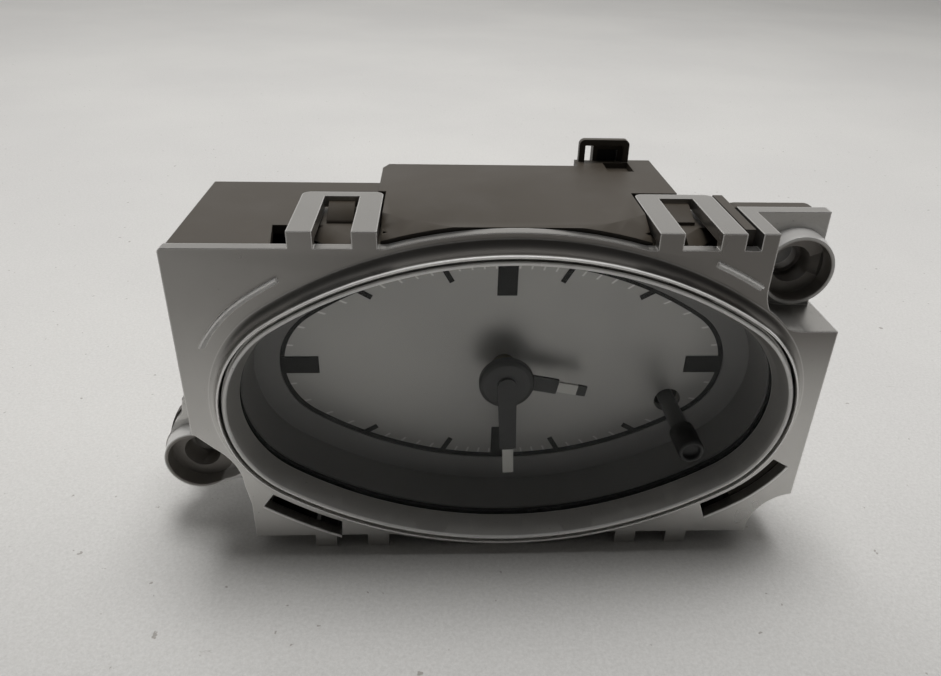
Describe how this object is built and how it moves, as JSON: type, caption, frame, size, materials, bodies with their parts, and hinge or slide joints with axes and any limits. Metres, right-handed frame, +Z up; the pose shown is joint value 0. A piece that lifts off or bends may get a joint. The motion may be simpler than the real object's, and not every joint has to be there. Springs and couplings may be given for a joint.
{
  "type": "car clock",
  "caption": "Oval quartz car clock with a geared movement, lit dial and setting button, in a silver clip-in carrier with screw flanges, closed by a dark rear case with a plug socket.",
  "frame": {"origin": "middle of the dial's oval, in the plane of the carrier plate's front face", "axes": "+X to the right as the dial is read, +Y back into the dashboard, +Z up past the twelve o'clock mark"},
  "size_m": [0.1357, 0.0509, 0.0774],
  "materials": {
    "carrier_paint": "semi-gloss silver paint on moulded plastic",
    "bezel_paint": "darker silver paint",
    "clear_lens": "clear moulded lens",
    "foam": "closed-cell foam",
    "mask_plastic": "matt dark grey",
    "dial_silver": "satin silver print with dark marks",
    "milky_plastic": "milky",
    "case_plastic": "matt dark warm grey",
    "dark_plastic": "satin black",
    "hand_paint": "satin black with light tips",
    "black_plastic": "black moulded plastic",
    "clear_plastic": "clear acrylic, stored opaque",
    "switch_metal": "tinned",
    "white_plastic": "natural white",
    "screw_steel": "zinc-plated",
    "magnet": "nickel-plated magnet",
    "brass": "satin",
    "stator_iron": "stamped soft iron",
    "copper_wire": "enamelled copper wire",
    "board_green": "solder mask",
    "crystal_can": "plated can",
    "capacitor_sleeve": "shrunk sleeve",
    "pin_gold": "plated",
    "bulb_glass": "clear glass"
  },
  "bodies": {
    "case": {"front_carrier": "carrier_paint", "bezel_ring": "bezel_paint", "lens": "clear_lens", "lens_gasket": "foam", "dial_mask": "mask_plastic", "dial": "dial_silver", "light_guide": "milky_plastic", "rear_case": "case_plastic", "set_switch": "switch_metal", "movement_front_plate": "white_plastic", "movement_back_plate": "white_plastic", "movement_screws": "screw_steel", "stator": "stator_iron", "coil_bobbin": "milky_plastic", "coil_winding": "copper_wire", "circuit_board": "board_green", "quartz_crystal": "crystal_can", "control_chip": "black_plastic", "capacitors": "capacitor_sleeve", "plug_header": "black_plastic", "plug_pins": "pin_gold", "bulb_holders": "black_plastic", "bulbs": "bulb_glass", "board_screws": "screw_steel"},
    "minute": {"centre_wheel": "brass", "minute_hand": "hand_paint", "hub_cap": "dark_plastic"},
    "hour": {"hour_wheel": "brass", "hour_hand": "hand_paint"},
    "motion": {"motion_wheel": "brass"},
    "second": {"second_wheel": "brass"},
    "first": {"first_wheel": "brass"},
    "rotor_arbor": {"rotor": "magnet"},
    "button": {"setting_button": "black_plastic", "button_stem": "clear_plastic", "switch_plunger": "black_plastic"}
  },
  "joints": [
    {"name": "minute_turn", "type": "hinge", "parent": "case", "child": "minute", "pos_m": [0, 0.024, 0], "axis": [0, 1, 0], "continuous": true},
    {"name": "hour_turn", "type": "hinge", "parent": "case", "child": "hour", "pos_m": [0, 0.024, 0], "axis": [0, 1, 0], "continuous": true},
    {"name": "motion_turn", "type": "hinge", "parent": "case", "child": "motion", "pos_m": [0.01128, 0.024, -0.0041], "axis": [0, 1, 0], "continuous": true},
    {"name": "second_turn", "type": "hinge", "parent": "case", "child": "second", "pos_m": [-0.01316, 0.024, 0.00479], "axis": [0, 1, 0], "continuous": true},
    {"name": "first_turn", "type": "hinge", "parent": "case", "child": "first", "pos_m": [-0.01685, 0.024, -0.00536], "axis": [0, 1, 0], "continuous": true},
    {"name": "rotor_turn", "type": "hinge", "parent": "case", "child": "rotor_arbor", "pos_m": [-0.01237, 0.024, -0.01312], "axis": [0, 1, 0], "continuous": true},
    {"name": "button_press", "type": "slide", "parent": "case", "child": "button", "axis": [0, 1, 0], "range_m": [0, 0.001], "stiffness_N_per_m": 300, "springref_m": -0.002}
  ],
  "couplings": [
    {"joint": "hour_turn", "follows": "minute_turn", "ratio": 0.083333},
    {"joint": "motion_turn", "follows": "minute_turn", "ratio": -0.33333},
    {"joint": "second_turn", "follows": "minute_turn", "ratio": -6},
    {"joint": "first_turn", "follows": "minute_turn", "ratio": 30},
    {"joint": "rotor_turn", "follows": "minute_turn", "ratio": -180}
  ]
}
